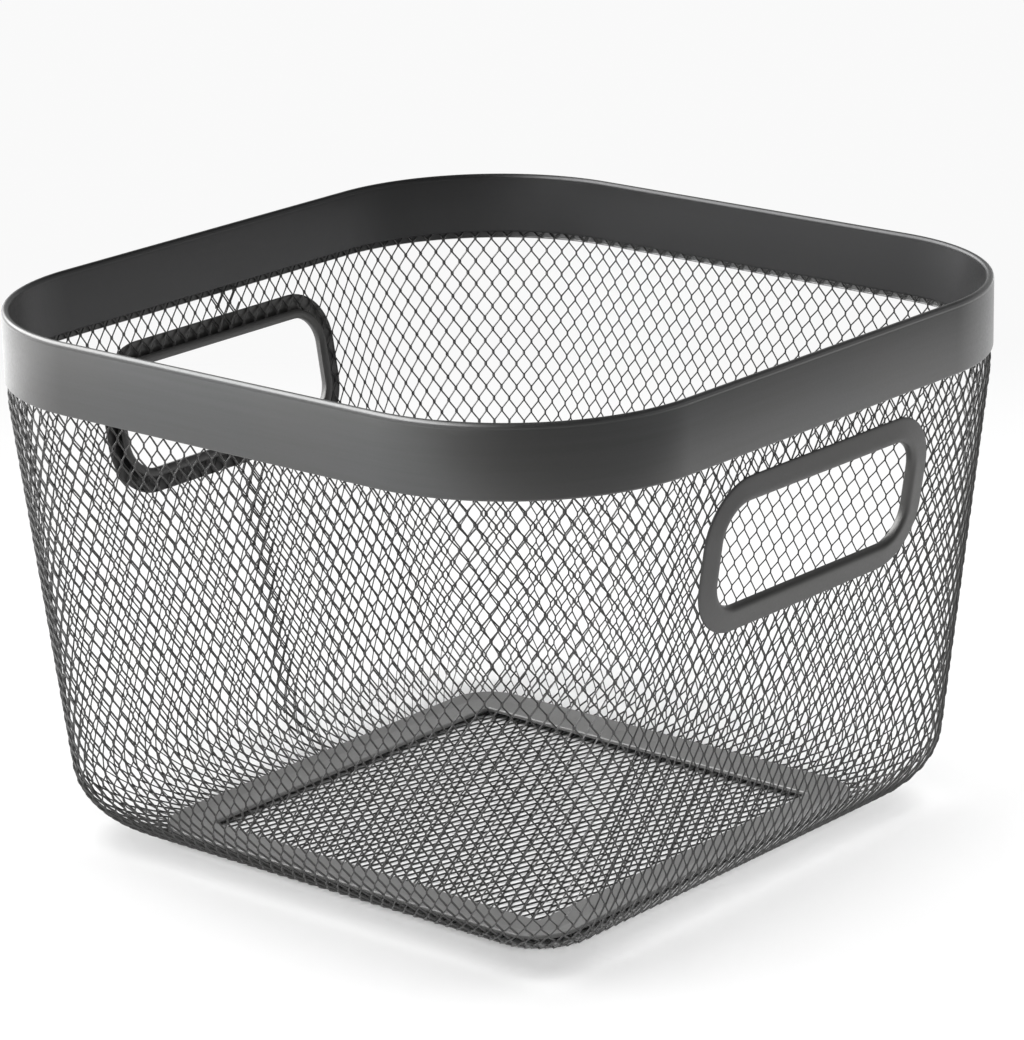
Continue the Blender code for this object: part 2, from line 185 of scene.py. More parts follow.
WINDOW_SILL = (0.10, 0.26)       # and shares of the way up
UP = (0, 0, 1)
LAMP_HEIGHT = 1.2
LAMP_SIZE = 1.1
LEFT_LAMP = (-0.45, -0.60)
RIGHT_LAMP = (0.55, 0.45)
LEFT_POWER = 12.0
RIGHT_POWER = 8.0

# Colour sockets of a Mix node
MIX_LOW, MIX_HIGH, MIX_RESULT = 6, 7, 2

# Camera, from the fit to the photograph
PICTURE_HEIGHT_PX = 1040
FOCAL_LENGTH_PX = 4603.85
SENSOR_WIDTH_MM = 36
CLEAR_FROM, CLEAR_TO = 0.05, 50
CAMERA_PLACE = Vector((893.1, -1044.0, 530.0)) * MM
CAMERA_AZIMUTH = math.radians(40.4594)
CAMERA_ELEVATION = math.radians(17.40492)
CAMERA_ROLL = math.radians(-1.13138)


def deselect_all():
    if bpy.context.mode != "OBJECT":
        bpy.ops.object.mode_set(mode="OBJECT")
    bpy.ops.object.select_all(action="DESELECT")


def activate(piece):
    deselect_all()
    piece.select_set(True)
    bpy.context.view_layer.objects.active = piece


def edit(piece):
    activate(piece)
    bpy.ops.object.mode_set(mode="EDIT")


def pick_faces(piece, wanted):
    """In edit mode, selects just the faces whose centre passes the test."""
    bpy.ops.mesh.select_all(action="DESELECT")
    shape = bmesh.from_edit_mesh(piece.data)
    for face in shape.faces:
        if wanted(face.calc_center_median()):
            face.select_set(True)
    bmesh.update_edit_mesh(piece.data)


def pick_points(piece, wanted):
    """In edit mode, selects just the points that pass the test."""
    bpy.ops.mesh.select_mode(type="VERT")
    bpy.ops.mesh.select_all(action="DESELECT")
    shape = bmesh.from_edit_mesh(piece.data)
    for point in shape.verts:
        if wanted(point.co):
            point.select_set(True)
    shape.select_flush(True)
    bmesh.update_edit_mesh(piece.data)


def keep_place_in_mesh(piece):
    activate(piece)
    bpy.ops.object.transform_apply(location=True, rotation=True, scale=True)


def copy_of(piece, name):
    copied = piece.copy()
    copied.data = piece.data.copy()
    copied.name = name
    copied.data.name = name
    bpy.context.scene.collection.objects.link(copied)
    return copied


def dress(piece, slot, material, *nodes):
    """Hands a finished piece to the frame: it rides on the body and stands for CAD nodes."""
    piece.data.materials.clear()
    piece.data.materials.append(material)
    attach(piece, "root")
    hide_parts(*nodes)


class WallForm:
    """The middle of the mesh wall, from its top edge down, round the bend and in."""

    def __init__(self):
        self.top_half = TOP_WIDTH / 2 - BAND_SKIN - SEAT_GAP - SHEET_THICKNESS / 2
        self.top_radius = RIM_CORNER_RADIUS - (TOP_WIDTH / 2 - self.top_half)
        self.slope_top = HEIGHT - BAND_HEIGHT - UPRIGHT_BELOW_BAND
        self.floor = SHEET_THICKNESS * 3 / 2 + SEAT_GAP
        foot_half = FOOT_SIDE / 2
        self.slope = math.atan2(self.top_half - foot_half, self.slope_top - self.floor)
        self.turn = math.pi / 2 - self.slope
        tangent = BOTTOM_BEND_RADIUS * math.tan(self.turn / 2)
        self.base_half = foot_half - tangent
        run = math.hypot(self.top_half - foot_half, self.slope_top - self.floor) - tangent
        self.upright = MESH_TOP_HEIGHT - self.slope_top
        self.slope_end = self.upright + run
        self.bend_end = self.slope_end + BOTTOM_BEND_RADIUS * self.turn
        self.length = self.bend_end + TURNED_IN_EDGE
        self.cell_width = self.round_length(0.0) / COLUMNS
        self.rows = self.row_places()

    def share_up(self, height):
        return np.minimum((height - self.floor) / (self.slope_top - self.floor), 1)

    def radius_at(self, height):
        return FOOT_CORNER_RADIUS + (self.top_radius - FOOT_CORNER_RADIUS) * self.share_up(height)

    def section(self, down):
        """Half width along X, corner radius and height at distances down the sheet."""
        along = down - self.upright
        slope_height = self.slope_top - along * math.cos(self.slope)
        slope_half = self.top_half - along * math.sin(self.slope)
        angle = np.clip((self.bend_end - down) / BOTTOM_BEND_RADIUS, 0, self.turn)
        bend_height = self.floor + BOTTOM_BEND_RADIUS * (1 - np.cos(angle))
        start = self.radius_at(self.floor + BOTTOM_BEND_RADIUS * (1 - math.cos(self.turn)))
        bend_radius = BASE_CORNER_RADIUS + (start - BASE_CORNER_RADIUS) * angle / self.turn
        bend_half = self.base_half + BOTTOM_BEND_RADIUS * np.sin(angle)
        where = [down <= self.upright, down <= self.slope_end, down <= self.bend_end]
        half = np.select(
            where,
            [np.full_like(down, self.top_half), slope_half, bend_half],
            self.base_half - (down - self.bend_end),
        )
        radius = np.select(
            where,
            [np.full_like(down, self.top_radius), self.radius_at(slope_height), bend_radius],
            BASE_CORNER_RADIUS,
        )
        height = np.select(where, [MESH_TOP_HEIGHT - down, slope_height, bend_height], self.floor)
        return half, radius, height

    def quarter_parts(self, down):
        """Half width, half length, corner radius and height at distances down the sheet."""
        half, radius, height = self.section(down)
        half_length = half + (TOP_LENGTH - TOP_WIDTH) / 2 * self.share_up(height)
        return half, half_length, radius, height

    def round_length(self, down):
        """Once round the basket at a distance down the sheet."""
        half, half_length, radius, _ = (float(v) for v in self.quarter_parts(np.array(down)))
        return 4 * (half + half_length) - (8 - 2 * math.pi) * radius

    def row_places(self):
        """Where each half row of bonds lies down the sheet, for strands of one length."""
        places = [0.0]
        while places[-1] < self.length:
            half_cell = self.round_length(places[-1]) / COLUMNS / 2
            places.append(places[-1] + math.sqrt(STRAND_LENGTH**2 - half_cell**2))
        return np.array(places[:-1])

    def place(self, around, down):
        """Points of the middle surface. Around is a share of a turn from the middle of +X."""
        half, half_length, radius, height = self.quarter_parts(down)
        quarter = np.floor(around * 4)
        share = around * 4 - quarter
        quarter = quarter % 4
        share = np.where((quarter == 1) | (quarter == 3), 1 - share, share)
        arc = math.pi / 2 * radius
        side_run = half_length - radius
        end_run = half - radius
        along = share * (side_run + arc + end_run)
        angle = np.clip((along - side_run) / radius, 0, math.pi / 2)
        in_side = along < side_run
        in_end = along > side_run + arc
        x = np.where(in_side, half, end_run + radius * np.cos(angle))
        y = np.where(in_side, along, side_run + radius * np.sin(angle))
        x = np.where(in_end, side_run + arc + end_run - along, x)
        y = np.where(in_end, half_length, y)
        x = np.where((quarter == 1) | (quarter == 2), -x, x)
        y = np.where((quarter == 2) | (quarter == 3), -y, y)
        return np.stack([x, y, height], axis=1)

    def normal(self, around, down):
        step = SHEET_THICKNESS / TOP_WIDTH
        sideways = self.place(around + step, down) - self.place(around - step, down)
        before = np.maximum(down - SHEET_THICKNESS, 0)
        after = np.minimum(down + SHEET_THICKNESS, self.length)
        out = np.cross(self.place(around, after) - self.place(around, before), sideways)
        return out / np.linalg.norm(out, axis=1)[:, None]


def expanded_cell(name, cell_width, half_row, strand):
    """One bond and the two strands that rise from it: X along the sheet, Z up, -Y outwards."""
    deselect_all()
    bpy.ops.mesh.primitive_grid_add(x_subdivisions=2, y_subdivisions=1, size=1)
    cell = bpy.context.object
    cell.name = name
    edit(cell)
    bpy.ops.mesh.select_all(action="SELECT")
    origin = (0, 0, 0)
    bpy.ops.transform.resize(value=(2 * strand.width, strand.depth, 1), center_override=origin)
    bpy.ops.transform.rotate(value=-strand.twist, orient_axis="Z", center_override=origin)
    bpy.ops.transform.translate(value=(0, 0, -strand.bond / 2))
    bpy.ops.mesh.extrude_region_move(TRANSFORM_OT_translate={"value": (0, 0, strand.bond)})
    step = Vector((math.cos(strand.twist), math.sin(strand.twist), 0)) * strand.width
    top = strand.bond / 2
    near = strand.width / 10
    for side in (1, -1):
        start = step * side / 2 + Vector((0, 0, top))
        pick_faces(cell, lambda centre: (centre - start).length < near)
        rise = Vector((side * cell_width / 2, 0, half_row - strand.bond)) - step * side
        bpy.ops.mesh.extrude_region_move(TRANSFORM_OT_translate={"value": rise})
    high = half_row - top - near
    pick_faces(cell, lambda centre: centre.z > high or centre.z < near - top)
    bpy.ops.mesh.delete(type="FACE")
    bpy.ops.object.mode_set(mode="OBJECT")
    return cell


def expanded_sheet(name, columns, rows, cell_width, half_row, strand):
    """A flat sheet of cells, made by repeating one cell."""
    cell = expanded_cell(name, cell_width, half_row, strand)
    upper = copy_of(cell, name + "_upper")
    upper.location = (cell_width / 2, 0, half_row)
    deselect_all()
    upper.select_set(True)
    cell.select_set(True)
    bpy.context.view_layer.objects.active = cell
    bpy.ops.object.join()
    for label, count, offset in (
        ("columns", columns, (cell_width, 0, 0)),
        ("rows", math.ceil(rows / 2), (0, 0, 2 * half_row)),
    ):
        repeat = cell.modifiers.new(label, "ARRAY")
        repeat.count = count
        repeat.use_relative_offset = False
        repeat.use_constant_offset = True
        repeat.constant_offset_displace = offset
        bpy.ops.object.modifier_apply(modifier=label)
    return cell


def upright_sheet(name, columns, rows, cell_width, half_row, strand):
    """The sheet for the walls, cut level at its foot and just over its highest bonds."""
    sheet = expanded_sheet(name, columns, rows, cell_width, half_row, strand)
    edit(sheet)
    for height, out in ((0, -1), ((rows - 1 + TOP_STUB) * half_row, 1)):
        bpy.ops.mesh.select_all(action="SELECT")
        bpy.ops.mesh.bisect(plane_co=(0, 0, height), plane_no=(0, 0, out), clear_outer=True)
    bpy.ops.object.mode_set(mode="OBJECT")
    return sheet


def points_of(piece):
    flat = np.empty(len(piece.data.vertices) * 3)
    piece.data.vertices.foreach_get("co", flat)
    return flat.reshape(-1, 3)


def set_points(piece, points):
    piece.data.vertices.foreach_set("co", points.ravel())
    piece.data.update()


def form_to_wall(sheet, wall, half_row, first_column, lift):
    """Bends a flat sheet round the wall. Its row 0 is the lowest."""
    flat = points_of(sheet)
    last = len(wall.rows) - 1
    row = last - flat[:, 2] / half_row
    down = np.interp(row, np.arange(last + 1), wall.rows)
    down = np.where(row < 0, row * half_row, down)
    around = (first_column + flat[:, 0] / wall.cell_width) / COLUMNS
    kept = np.maximum(down, 0)
    points = wall.place(around, kept) + wall.normal(around, kept) * (lift - flat[:, 1])[:, None]
    points[:, 2] += kept - down
    set_points(sheet, points)


def hand_hole_frame(wall, side):
    """Local X runs along the wall, local Y up the slope and local Z out of the wall."""
    down = wall.upright + (wall.slope_top - HAND_HOLE_CENTRE_HEIGHT) / math.cos(wall.slope)
    half = float(wall.section(np.array(down))[0])
    along = Vector((0, 1, 0))
    up = Vector((math.sin(wall.slope), 0, math.cos(wall.slope)))
    axes = Matrix((along, up, along.cross(up))).transposed().to_4x4()
    placed = Matrix.Translation((half, 0, HAND_HOLE_CENTRE_HEIGHT)) @ axes
    return Matrix.Rotation(side * math.pi, 4, "Z") @ placed


def cut_hand_hole(piece, wall, side):
    """Cuts the strands on eight lines round the hand hole and takes out what lies inside."""
    to_local = hand_hole_frame(wall, side).inverted()
    half_x = HAND_HOLE_LENGTH / 2 + HOLE_CUT_CLEAR
    half_y = HAND_HOLE_HEIGHT / 2 + HOLE_CUT_CLEAR
    radius = HAND_HOLE_RADIUS + HOLE_CUT_CLEAR
    skew = (half_x - radius + half_y - radius) * math.sqrt(0.5) + radius
    lines = []
    for eighth in range(8):
        turn = math.pi * eighth / 4
        reach = (half_x, skew, half_y, skew)[eighth % 4]
        lines.append((Vector((math.cos(turn), math.sin(turn), 0)), reach))
    shape = bmesh.new()
    shape.from_mesh(piece.data)
    shape.transform(to_local)
    on_line = 1e-7
    just_inside = -1e-6
    this_wall = 4 * STRAND_LENGTH

    def near_hole(centre, spare):
        if abs(centre.z) > this_wall:
            return False
        return all(centre.dot(out) < reach + spare for out, reach in lines)

    for out, reach in lines:
        faces = [f for f in shape.faces if near_hole(f.calc_center_median(), STRAND_LENGTH)]
        edges = {e for f in faces for e in f.edges}
        points = {v for f in faces for v in f.verts}
        cut = [*points, *edges, *faces]
        bmesh.ops.bisect_plane(shape, geom=cut, plane_co=out * reach, plane_no=out, dist=on_line)
    inside = [f for f in shape.faces if near_hole(f.calc_center_median(), just_inside)]
    bmesh.ops.delete(shape, geom=inside, context="FACES")
    shape.transform(to_local.inverted())
    shape.to_mesh(piece.data)
    shape.free()


def finish_mesh_piece(piece):
    edit(piece)
    bpy.ops.mesh.select_all(action="SELECT")
    bpy.ops.mesh.remove_doubles(threshold=WELD_DISTANCE)
    bpy.ops.mesh.normals_make_consistent(inside=False)
    bpy.ops.object.mode_set(mode="OBJECT")


def wall_mesh(wall, material):
    """Two halves of the sheet round the basket, and the lap where its ends meet on -X."""
    half_row = math.sqrt(STRAND_LENGTH**2 - (wall.cell_width / 2) ** 2)
    rows = len(wall.rows)
    lap_rows = rows - LAP_ROWS_OFF
    half = COLUMNS // 2
    cell = (wall.cell_width, half_row, WALL_STRAND)
    first = upright_sheet("wall_mesh_right", half, rows, *cell)
    second = copy_of(first, "wall_mesh_left")
    lap = upright_sheet("wall_mesh_lap", LAP_COLUMNS, lap_rows, *cell)
    form_to_wall(first, wall, half_row, 0, 0)
    form_to_wall(second, wall, half_row, half, 0)
    form_to_wall(lap, wall, half_row, half + LAP_PLACE, -LAP_LIFT)
    for piece in (first, second, lap):
        finish_mesh_piece(piece)
        for side in (0, 1):
            cut_hand_hole(piece, wall, side)
        dress(piece, "mesh", material, "wall_mesh")


def base_mesh(material):
    """A flat panel of the same mesh, its long way along Y, lying on the floor."""
    columns = 2 * math.ceil(BASE_HALF / BASE_CELL_WIDTH)
    rows = 4 * math.ceil(BASE_HALF / BASE_CELL_HALF_LENGTH / 2) + 2
    panel = expanded_sheet(
        "base_mesh_panel", columns, rows, BASE_CELL_WIDTH, BASE_CELL_HALF_LENGTH, BASE_STRAND
    )
    flat = points_of(panel)
    lowest = flat[:, 1].max()
    x = flat[:, 0] - columns / 2 * BASE_CELL_WIDTH
    y = flat[:, 2] - rows / 2 * BASE_CELL_HALF_LENGTH
    set_points(panel, np.stack([x, y, lowest - flat[:, 1]], axis=1))
    edit(panel)
    for out in ((1, 0, 0), (-1, 0, 0), (0, 1, 0), (0, -1, 0)):
        bpy.ops.mesh.select_all(action="SELECT")
        edge = tuple(BASE_HALF * part for part in out)
        bpy.ops.mesh.bisect(plane_co=edge, plane_no=out, clear_outer=True)
    bpy.ops.object.mode_set(mode="OBJECT")
    corner = BASE_HALF - BASE_CORNER_RADIUS
    edit(panel)
    pick_faces(
        panel,
        lambda c: abs(c.x) > corner
        and abs(c.y) > corner
        and math.hypot(abs(c.x) - corner, abs(c.y) - corner) > BASE_CORNER_RADIUS,
    )
    bpy.ops.mesh.delete(type="FACE")
    bpy.ops.object.mode_set(mode="OBJECT")
    finish_mesh_piece(panel)
    dress(panel, "mesh", material, "base_mesh")


def rounded_face(name, size_x, size_y, radius, steps, height):
    """Starts a piece from one flat face with rounded corners, left selected in edit mode."""
    deselect_all()
    bpy.ops.mesh.primitive_plane_add(size=1)
    piece = bpy.context.object
    piece.name = name
    piece.data.name = name
    edit(piece)
    bpy.ops.mesh.select_mode(type="VERT")
    bpy.ops.mesh.select_all(action="SELECT")
    bpy.ops.transform.resize(value=(size_x, size_y, 1), center_override=(0, 0, 0))
    bpy.ops.transform.translate(value=(0, 0, height))
    bpy.ops.mesh.bevel(offset=radius, segments=steps, affect="VERTICES")
    bpy.ops.mesh.select_mode(type="FACE")
    bpy.ops.mesh.select_all(action="SELECT")
    return piece


def step_to(inwards, upwards):
    """Carries the selected face inwards and up, leaving a strip of faces behind it."""
    if inwards > 0:
        bpy.ops.mesh.inset(thickness=inwards, depth=upwards)
    else:
        bpy.ops.mesh.extrude_region_move(TRANSFORM_OT_translate={"value": (0, 0, upwards)})


def follow(section):
    """Takes the selected face along a section of (inset, height) points, then opens it."""
    for (inset, height), (next_inset, next_height) in zip(section, section[1:]):
        step_to(next_inset - inset, next_height - height)
    bpy.ops.mesh.delete(type="FACE")


def push_line(piece, wanted, distance):
    """Presses a line of points in or out along their normals."""
    pick_points(piece, wanted)
    bpy.ops.transform.shrink_fatten(value=distance)


def give_thickness(piece, skin, sharp_above):
    """Makes a pressed sheet solid on its inner side and smooths it."""
    activate(piece)
    wall = piece.modifiers.new("skin", "SOLIDIFY")
    wall.thickness = skin
    wall.offset = -1
    wall.use_even_offset = True
    bpy.ops.object.modifier_apply(modifier="skin")
    bpy.ops.object.shade_smooth_by_angle(angle=sharp_above)


def rim_band(material):
    """One strip folded over the mesh: outer skin, bead with a groove under it, inner skin."""
    foot = HEIGHT - BAND_HEIGHT
    inner_foot = foot + INNER_SKIN_LIFT
    groove = HEIGHT - GROOVE_DROP
    fold_radius = BAND_FOLD / 2
    fold_centre = HEIGHT - fold_radius
    groove_steps = (-2 * GROOVE_HALF_WIDTH, -GROOVE_HALF_WIDTH, 0, GROOVE_HALF_WIDTH)
    section = [(0, foot), (0, foot + EDGE_STEP), (0, foot + EDGE_RUN)]
    section += [(0, groove + step) for step in groove_steps]
    for step in range(FOLD_STEPS + 1):
        angle = math.pi * step / FOLD_STEPS
        section.append(
            (fold_radius * (1 - math.cos(angle)), fold_centre + fold_radius * math.sin(angle))
        )
    section += [(BAND_FOLD, groove + step) for step in reversed(groove_steps)]
    section += [(BAND_FOLD, inner_foot + rise) for rise in (EDGE_RUN, EDGE_STEP, 0)]
    band = rounded_face(
        "rim_band_folded", TOP_WIDTH, TOP_LENGTH, RIM_CORNER_RADIUS, CORNER_STEPS, foot
    )
    follow(section)
    near = EDGE_STEP / 4
    pick_faces(band, lambda c: abs(c.z - foot) < near)
    bpy.ops.mesh.delete(type="ONLY_FACE")
    middle_x = TOP_WIDTH / 2 - fold_radius
    middle_y = TOP_LENGTH / 2 - fold_radius
    corner = RIM_CORNER_RADIUS - fold_radius

    def outside(co):
        past_x = abs(co.x) - (middle_x - corner)
        past_y = abs(co.y) - (middle_y - corner)
        if past_x > 0 and past_y > 0:
            return math.hypot(past_x, past_y) > corner
        return max(past_x, past_y) > corner

    for height, side, depth in (
        (foot, True, BAND_EDGE_ROLL),
        (foot + EDGE_STEP, True, BAND_EDGE_ROLL / 3),
        (groove, True, GROOVE_DEPTH),
        (groove - GROOVE_HALF_WIDTH, True, GROOVE_DEPTH / 2),
        (groove, False, GROOVE_DEPTH / 2),
        (inner_foot, False, BAND_EDGE_ROLL),
        (inner_foot + EDGE_STEP, False, BAND_EDGE_ROLL / 3),
    ):
        push_line(band, lambda co: abs(co.z - height) < near and outside(co) == side, -depth)
    bpy.ops.object.mode_set(mode="OBJECT")
    give_thickness(band, BAND_SKIN, BAND_SHARP_ABOVE)
    keep_place_in_mesh(band)
    dress(band, "rim", material, "rim_band")


def hand_ring(wall, material):
    """A domed rim outside the wall, run through the hole and curled into a lip inside."""
    halves = []
    for name, section in (("hand_ring_right_pressed", RING_DOME), ("hand_ring_lip", RING_LIP)):
        outer, height = (value * MM for value in section[0])
        half = rounded_face(
            name,
            HAND_HOLE_LENGTH + 2 * outer,
            HAND_HOLE_HEIGHT + 2 * outer,
            HAND_HOLE_RADIUS + outer,
            RING_STEPS,
            height,
        )
        follow([(outer - out * MM, up * MM) for out, up in section])
        bpy.ops.object.mode_set(mode="OBJECT")
        halves.append(half)
    ring, lip = halves
    deselect_all()
    lip.select_set(True)
    ring.select_set(True)
    bpy.context.view_layer.objects.active = ring
    bpy.ops.object.join()
    finish_mesh_piece(ring)
    give_thickness(ring, RING_SKIN, RING_SHARP_ABOVE)
    other = copy_of(ring, "hand_ring_left_pressed")
    for side, piece, node in ((0, ring, "hand_ring_right"), (1, other, "hand_ring_left")):
        piece.matrix_world = hand_hole_frame(wall, side)
        keep_place_in_mesh(piece)
        dress(piece, "rim", material, node)


def group(name, inputs, outputs):
    """An empty shader group with named sockets."""
    made = bpy.data.node_groups.new(name, "ShaderNodeTree")
    for label, kind, value in inputs:
        socket = made.interface.new_socket(name=label, in_out="INPUT", socket_type=kind)
        socket.default_value = value
    for label, kind in outputs:
        made.interface.new_socket(name=label, in_out="OUTPUT", socket_type=kind)
    return made, made.nodes.new("NodeGroupInput"), made.nodes.new("NodeGroupOutput")


def feed(tree, socket, value):
    """Links a socket to another one, or sets it to a number or a colour."""
    if isinstance(value, bpy.types.NodeSocket):
        tree.links.new(value, socket)
    else:
        socket.default_value = value


def math_node(tree, operation, first, second=None, clamp=False):
    node = tree.nodes.new("ShaderNodeMath")
    node.operation = operation
    node.use_clamp = clamp
    feed(tree, node.inputs[0], first)
    if second is not None:
        feed(tree, node.inputs[1], second)
    return node.outputs[0]


def multiplied(tree, first, second):
    return math_node(tree, "MULTIPLY", first, second)


def larger(tree, first, second):
    return math_node(tree, "MAXIMUM", first, second)


def vector_node(tree, operation, vector, other=None):
    node = tree.nodes.new("ShaderNodeVectorMath")
    node.operation = operation
    tree.links.new(vector, node.inputs[0])
    if other is not None:
        node.inputs[1].default_value = other
    return node.outputs


def own_place(tree):
    """The place on the piece, in metres."""
    return tree.nodes.new("ShaderNodeTexCoord").outputs["Object"]


def spread(tree, value, low, high, to_low, to_high):
    """Brings a value from one range to another, held at its ends."""
    node = tree.nodes.new("ShaderNodeMapRange")
    tree.links.new(value, node.inputs["Value"])
    for label, number in (
        ("From Min", low),
        ("From Max", high),
        ("To Min", to_low),
        ("To Max", to_high),
    ):
        node.inputs[label].default_value = number
    return node.outputs["Result"]


def noise(tree, vector, scale, detail, roughness=0.5):
    node = tree.nodes.new("ShaderNodeTexNoise")
    tree.links.new(vector, node.inputs["Vector"])
    feed(tree, node.inputs["Scale"], scale)
    node.inputs["Detail"].default_value = detail
    node.inputs["Roughness"].default_value = roughness
    return node.outputs["Fac"]


def coat_grain_group():
    """The fine orange-peel of a powder coat, and the slow unevenness of its shade."""
    tree, given, out = group(
        "powder coat grain",
        [("Grains per metre", "NodeSocketFloat", 2600.0)],
        [(label, "NodeSocketFloat") for label in ("Height", "Speckle", "Cloud")],
    )
    place = own_place(tree)
    grains = given.outputs["Grains per metre"]
    fine = noise(tree, place, grains, 2, 0.6)
    tree.links.new(fine, out.inputs["Height"])
    speckle = noise(tree, place, multiplied(tree, grains, 0.45), 3, 0.7)
    tree.links.new(spread(tree, speckle, *NOISE_BODY, 0, 1), out.inputs["Speckle"])
    cloud = noise(tree, place, CLOUDS_PER_METRE, 2)
    tree.links.new(spread(tree, cloud, *NOISE_BODY, 0, 1), out.inputs["Cloud"])
    return tree


def streak_group():
    """Faint level streaks left along a rolled strip."""
    tree, given, out = group(
        "rolled strip streaks",
        [("Streaks per metre", "NodeSocketFloat", 1500.0)],
        [("Streak", "NodeSocketFloat")],
    )
    stretch = (STREAK_STRETCH, STREAK_STRETCH, 1)
    stretched = vector_node(tree, "MULTIPLY", own_place(tree), stretch)["Vector"]
    lines = noise(tree, stretched, given.outputs["Streaks per metre"], 3, 0.65)
    tree.links.new(spread(tree, lines, *STREAK_BODY, 0, 1), out.inputs["Streak"])
    return tree


def rub_group():
    """Rubbed paint along a level edge: strongest at its height, broken up by noise."""
    tree, given, out = group(
        "rubbed edge",
        [("Edge height", "NodeSocketFloat", HEIGHT), ("Reach", "NodeSocketFloat", 1.0 * MM)],
        [("Rub", "NodeSocketFloat")],
    )
    place = own_place(tree)
    parts = tree.nodes.new("ShaderNodeSeparateXYZ")
    tree.links.new(place, parts.inputs[0])
    away = math_node(tree, "SUBTRACT", parts.outputs["Z"], given.outputs["Edge height"])
    share = math_node(tree, "DIVIDE", math_node(tree, "ABSOLUTE", away), given.outputs["Reach"])
    near = math_node(tree, "SUBTRACT", 1.0, share, clamp=True)
    broken = noise(tree, place, RUBS_PER_METRE, 4, 0.7)
    patches = spread(tree, broken, *RUB_BODY, LEAST_RUB, 1)
    tree.links.new(multiplied(tree, near, patches), out.inputs["Rub"])
    return tree


def inner_skin_group():
    """One on the inner skin of the folded strip, nought on the outer one: it marks where the band
    gets painted shade.
    """
    tree, _, out = group("inner skin", [], [("Inside", "NodeSocketFloat")])
    corner = RIM_CORNER_RADIUS - BAND_FOLD / 2
    blend = BAND_FOLD / 4
    straight = (TOP_WIDTH / 2 - RIM_CORNER_RADIUS, TOP_LENGTH / 2 - RIM_CORNER_RADIUS, 0)
    flat = vector_node(tree, "MULTIPLY", own_place(tree), (1, 1, 0))["Vector"]
    folded = vector_node(tree, "ABSOLUTE", flat)["Vector"]
    shifted = vector_node(tree, "SUBTRACT", folded, straight)["Vector"]
    past = vector_node(tree, "MAXIMUM", shifted, (0, 0, 0))["Vector"]
    away = vector_node(tree, "LENGTH", past)["Value"]
    inside = spread(tree, away, corner - blend, corner + blend, 1, 0)
    tree.links.new(inside, out.inputs["Inside"])
    return tree


GRAIN = coat_grain_group()
INNER_SKIN = inner_skin_group()
STREAKS = streak_group()
RUB = rub_group()


def place_group(tree, made, **values):
    node = tree.nodes.new("ShaderNodeGroup")
    node.node_tree = made
    for label, value in values.items():
        node.inputs[label.replace("_", " ")].default_value = value
    return node


def blend_colours(tree, share, low, high):
    """Goes by a share from a colour, which may come from another node, to a set one."""
    node = tree.nodes.new("ShaderNodeMix")
    node.data_type = "RGBA"
    tree.links.new(share, node.inputs["Factor"])
    feed(tree, node.inputs[MIX_LOW], (*low, 1) if isinstance(low, tuple) else low)
    node.inputs[MIX_HIGH].default_value = (*high, 1)
    return node.outputs[MIX_RESULT]


def start_coat(coat):
    """A material with its metal set, and its grain placed: roughness and bump come from it."""
    material = bpy.data.materials.new(coat.name)
    material.use_nodes = True
    tree = material.node_tree
    shader = tree.nodes["Principled BSDF"]
    shader.inputs["Metallic"].default_value = coat.metallic
    grain = place_group(tree, GRAIN, Grains_per_metre=coat.grains)
    roughness = spread(tree, grain.outputs["Speckle"], 0, 1, *coat.roughness)
    tree.links.new(roughness, shader.inputs["Roughness"])
    bump = tree.nodes.new("ShaderNodeBump")
    bump.inputs["Distance"].default_value = coat.bump
    bump.inputs["Strength"].default_value = 1.0
    tree.links.new(grain.outputs["Height"], bump.inputs["Height"])
    tree.links.new(bump.outputs["Normal"], shader.inputs["Normal"])
    return material, tree, shader, grain


def clouded_shade(tree, grain, coat):
    """Dark to light with the clouds, and the speckle over it."""
    shade = blend_colours(tree, grain.outputs["Cloud"], coat.dark, coat.light)
    share = spread(tree, grain.outputs["Speckle"], 0, 1, 0, coat.over_share)
    return blend_colours(tree, share, shade, coat.over)


def band_coat():
    """Grey satin powder coat on the rim strip, with level streaks and rubbed edges, and painted
    shade on its inner skin.
    """
    material, tree, shader, grain = start_coat(BAND_COAT)
    shader.inputs["Coat Roughness"].default_value = CLEAR_COAT_ROUGHNESS
    streaks = place_group(tree, STREAKS, Streaks_per_metre=BAND_STREAKS_PER_METRE)
    top = place_group(tree, RUB, Edge_height=HEIGHT, Reach=TOP_RUB_REACH)
    foot = place_group(tree, RUB, Edge_height=HEIGHT - BAND_HEIGHT, Reach=FOOT_RUB_REACH)
    inside = place_group(tree, INNER_SKIN).outputs["Inside"]
    shade = blend_colours(tree, streaks.outputs["Streak"], BAND_COAT.dark, BAND_COAT.light)
    cloud = spread(tree, grain.outputs["Cloud"], 0, 1, 0, BAND_COAT.over_share)
    shade = blend_colours(tree, cloud, shade, BAND_COAT.over)
    rubbed = larger(tree, top.outputs["Rub"], foot.outputs["Rub"])
    shade = blend_colours(tree, multiplied(tree, rubbed, BAND_RUB_SHARE), shade, BARE_EDGE_SHADE)
    # painted shade: the inner skin is darkened towards a dark grey
    inner_painted_shade = multiplied(tree, inside, INNER_SKIN_PAINTED_SHADE_SHARE)
    shade = blend_colours(tree, inner_painted_shade, shade, INNER_SKIN_PAINTED_SHADE)
    tree.links.new(shade, shader.inputs["Base Color"])
    # less clear coat on the inner skin dims its sheen, as part of the painted shade there
    weight = spread(tree, inside, 0, 1, CLEAR_COAT_OUTSIDE, CLEAR_COAT_INSIDE)
    tree.links.new(weight, shader.inputs["Coat Weight"])
    return material


